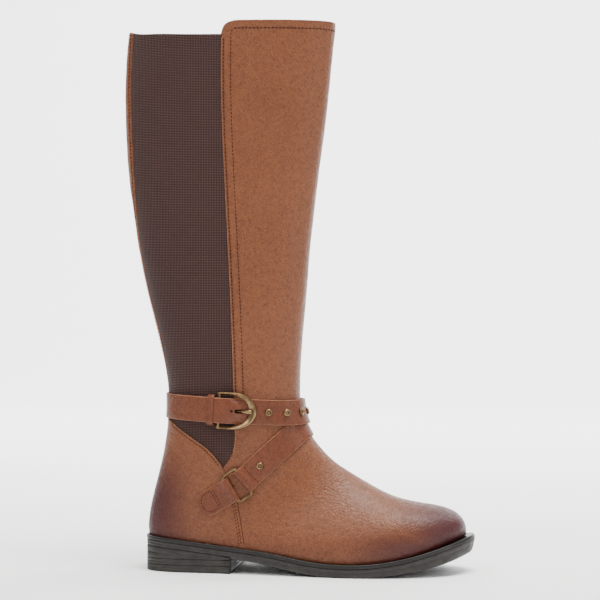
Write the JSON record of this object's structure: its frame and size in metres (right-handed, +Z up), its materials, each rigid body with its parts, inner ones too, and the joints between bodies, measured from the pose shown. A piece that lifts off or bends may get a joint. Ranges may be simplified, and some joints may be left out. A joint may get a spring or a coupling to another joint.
{
  "type": "tall riding boot",
  "caption": "Tall tan leather riding boot with elastic side panel, buckled ankle strap, studded cross strap, inner zip and low block heel.",
  "frame": {"origin": "on the floor under the middle of the boot's box", "axes": "+X towards the toe, +Y towards the inner side with the zip, +Z up the shaft"},
  "size_m": [0.2947, 0.0973, 0.4546],
  "materials": {
    "tan_leather": "fine pebbled grain, satin, burnished dark red-brown at toe and heel",
    "strap_leather": "smooth, satin, lighter cut edges",
    "elastic": "dark brown ribbed elastic webbing, matt",
    "lining": "plain woven lining, matt",
    "stiffener": "pressed fibreboard, matt",
    "footbed": "smooth padded sock, satin",
    "cork": "granulated cork, matt",
    "steel": "plain tempered strip",
    "sole_rubber": "dark brown-black, slightly worn, matt",
    "antique_brass": "aged, darkened in the recesses",
    "zip_fabric": "tightly woven tape, matt",
    "zip_coil": "dark brown nylon, satin"
  },
  "bodies": {
    "boot": {"buckle_strap": "strap_leather", "cork_filler": "cork", "cross_strap": "strap_leather", "cross_strap_stud": "antique_brass", "elastic_gore": "elastic", "foot_lining": "lining", "footbed": "footbed", "heel_counter": "stiffener", "heel_lift": "sole_rubber", "heel_nails": "steel", "heel_seat_wedge": "sole_rubber", "heel_tab": "strap_leather", "heel_top_piece": "sole_rubber", "inner_quarter": "tan_leather", "insole_board": "stiffener", "outer_quarter": "tan_leather", "outsole": "sole_rubber", "shaft_back_panel": "tan_leather", "shaft_front_panel": "tan_leather", "shaft_lining": "lining", "steel_shank": "steel", "strap_keeper": "strap_leather", "strap_ring": "antique_brass", "strap_studs": "antique_brass", "studded_strap": "strap_leather", "toe_puff": "stiffener", "vamp": "tan_leather", "welt": "sole_rubber", "zip_coil_front": "zip_coil", "zip_coil_rear": "zip_coil", "zip_guard": "lining", "zip_stops": "antique_brass", "zip_tape_front": "zip_fabric", "zip_tape_rear": "zip_fabric"},
    "buckle": {"buckle_frame": "antique_brass", "buckle_bar": "antique_brass"},
    "prong": {"buckle_prong": "antique_brass"},
    "slider": {"zip_slider": "antique_brass"},
    "pull": {"zip_pull": "antique_brass"}
  },
  "joints": [
    {"name": "buckle_tilt", "type": "hinge", "parent": "boot", "child": "buckle", "pos_m": [-0.06183, -0.03546, 0.13382], "axis": [-0.0489, 0, -0.9988], "range_deg": [0, 4]},
    {"name": "prong_lift", "type": "hinge", "parent": "buckle", "child": "prong", "pos_m": [-0.06183, -0.03546, 0.13382], "axis": [-0.0489, 0, -0.9988], "range_deg": [0, 2.5]},
    {"name": "zip_run", "type": "slide", "parent": "boot", "child": "slider", "axis": [0, 0, -1], "range_m": [0, 0.349]},
    {"name": "pull_swing", "type": "hinge", "parent": "slider", "child": "pull", "pos_m": [-0.055, 0.0358, 0.439], "axis": [1, 0, 0], "range_deg": [0, 150]}
  ]
}
